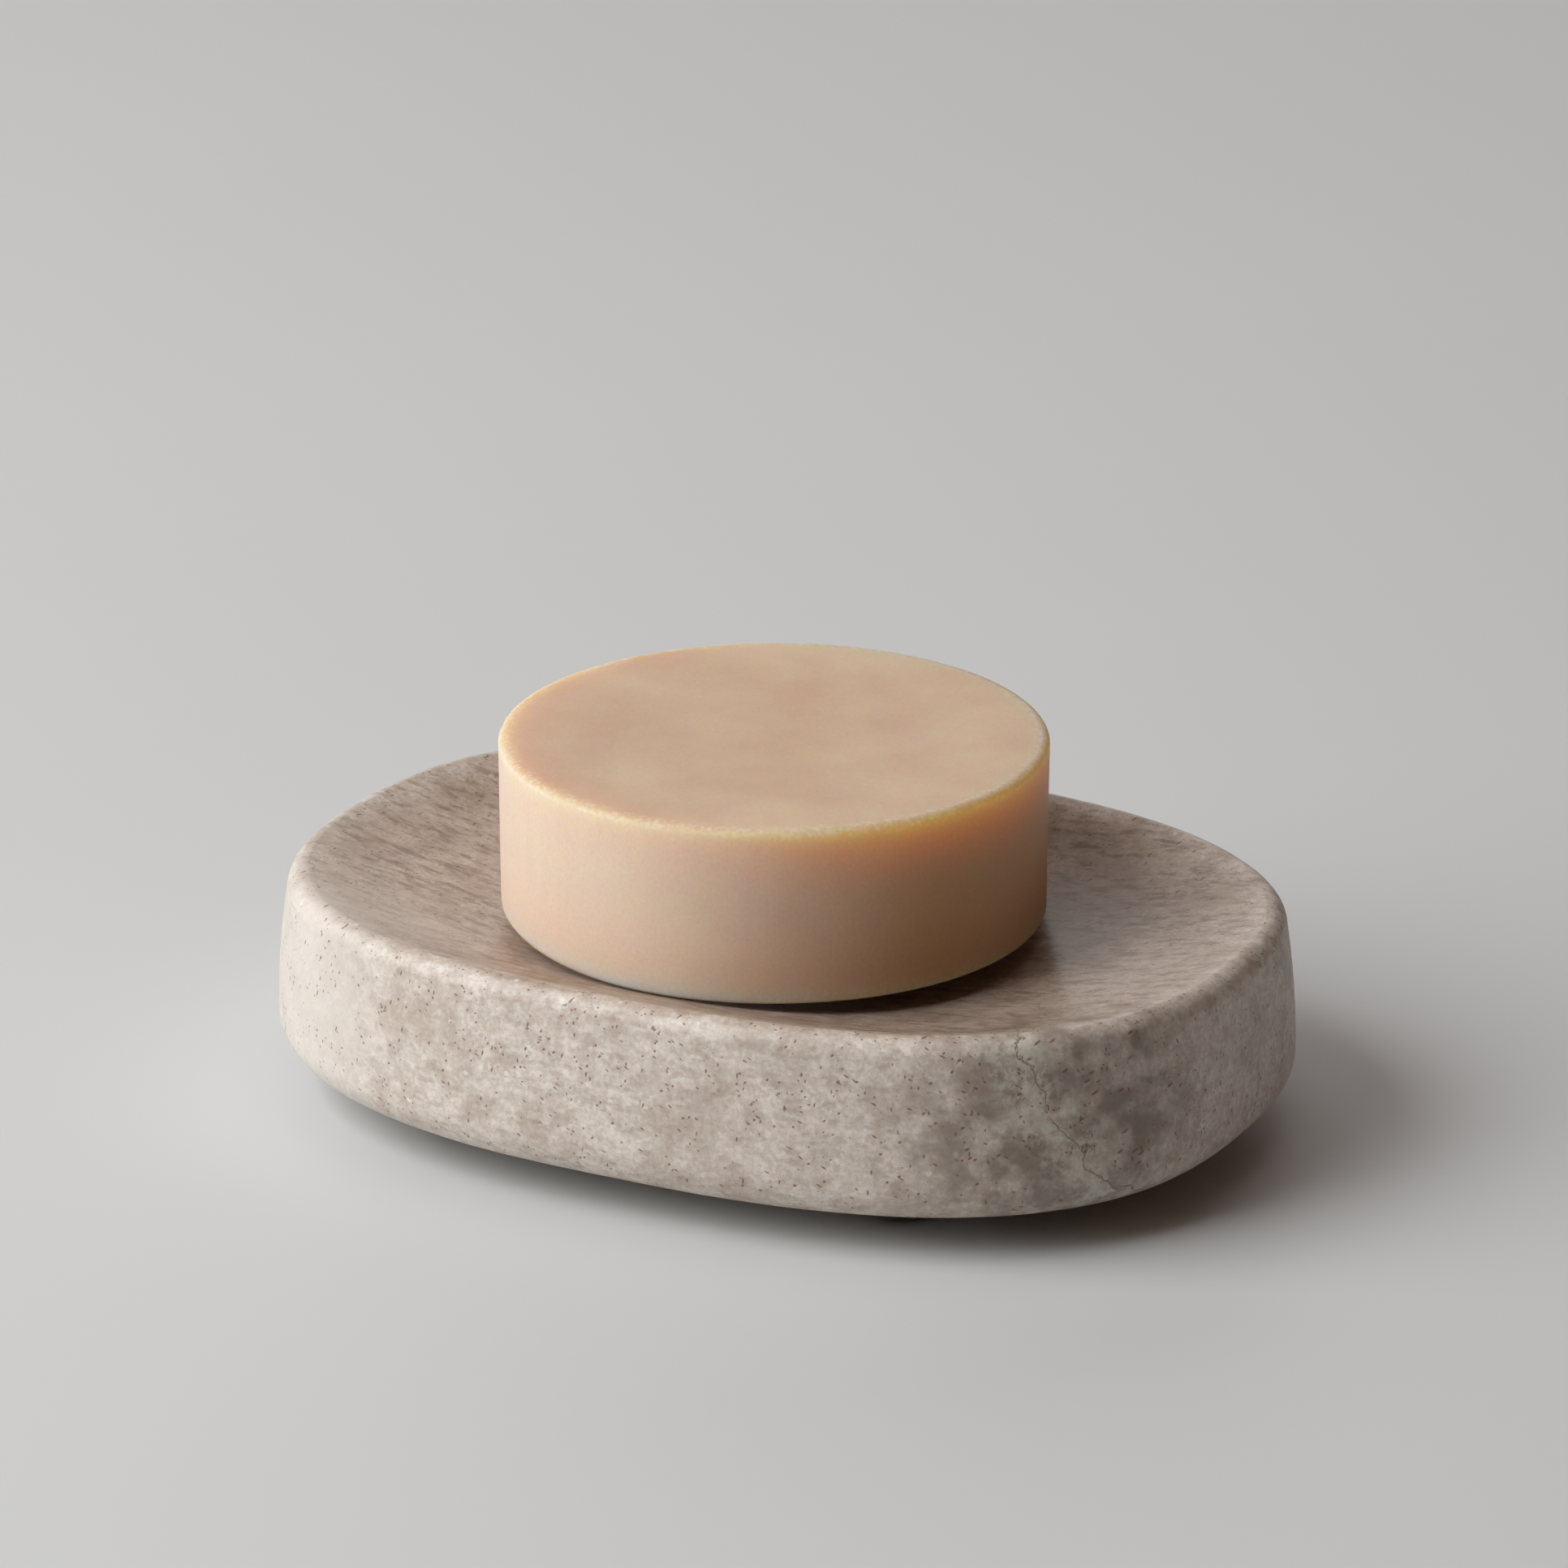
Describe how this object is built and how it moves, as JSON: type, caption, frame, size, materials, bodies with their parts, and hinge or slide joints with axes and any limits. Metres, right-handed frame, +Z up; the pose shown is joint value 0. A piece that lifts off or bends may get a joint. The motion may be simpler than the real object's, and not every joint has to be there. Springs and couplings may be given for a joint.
{
  "type": "shaving soap puck",
  "caption": "Round shaving soap puck resting in the shallow hollow of a pebble-shaped polished stone dish on clear bumper feet; the puck lifts out.",
  "frame": {"origin": "on the surface the dish stands on, under the middle of the dish", "axes": "+X along the long axis of the dish, +Y across it, +Z up out of the hollow"},
  "size_m": [0.1351, 0.0994, 0.0504],
  "materials": {
    "soap": "smooth waxy tallow soap, satin, slightly translucent",
    "stone": "polished warm beige marble with brown flecks and pale clouds",
    "bumper": "clear glossy polyurethane",
    "adhesive": "clear acrylic adhesive film"
  },
  "bodies": {
    "dish": {"stone_dish": "stone", "bumper_foot_1": "bumper", "bumper_foot_2": "bumper", "bumper_foot_3": "bumper", "bumper_foot_4": "bumper", "adhesive_disc_1": "adhesive", "adhesive_disc_2": "adhesive", "adhesive_disc_3": "adhesive", "adhesive_disc_4": "adhesive"},
    "puck": {"soap_puck": "soap"}
  },
  "joints": [
    {"name": "puck_lift", "type": "slide", "parent": "dish", "child": "puck", "axis": [0, 0, 1], "range_m": [0, 0.06]}
  ]
}
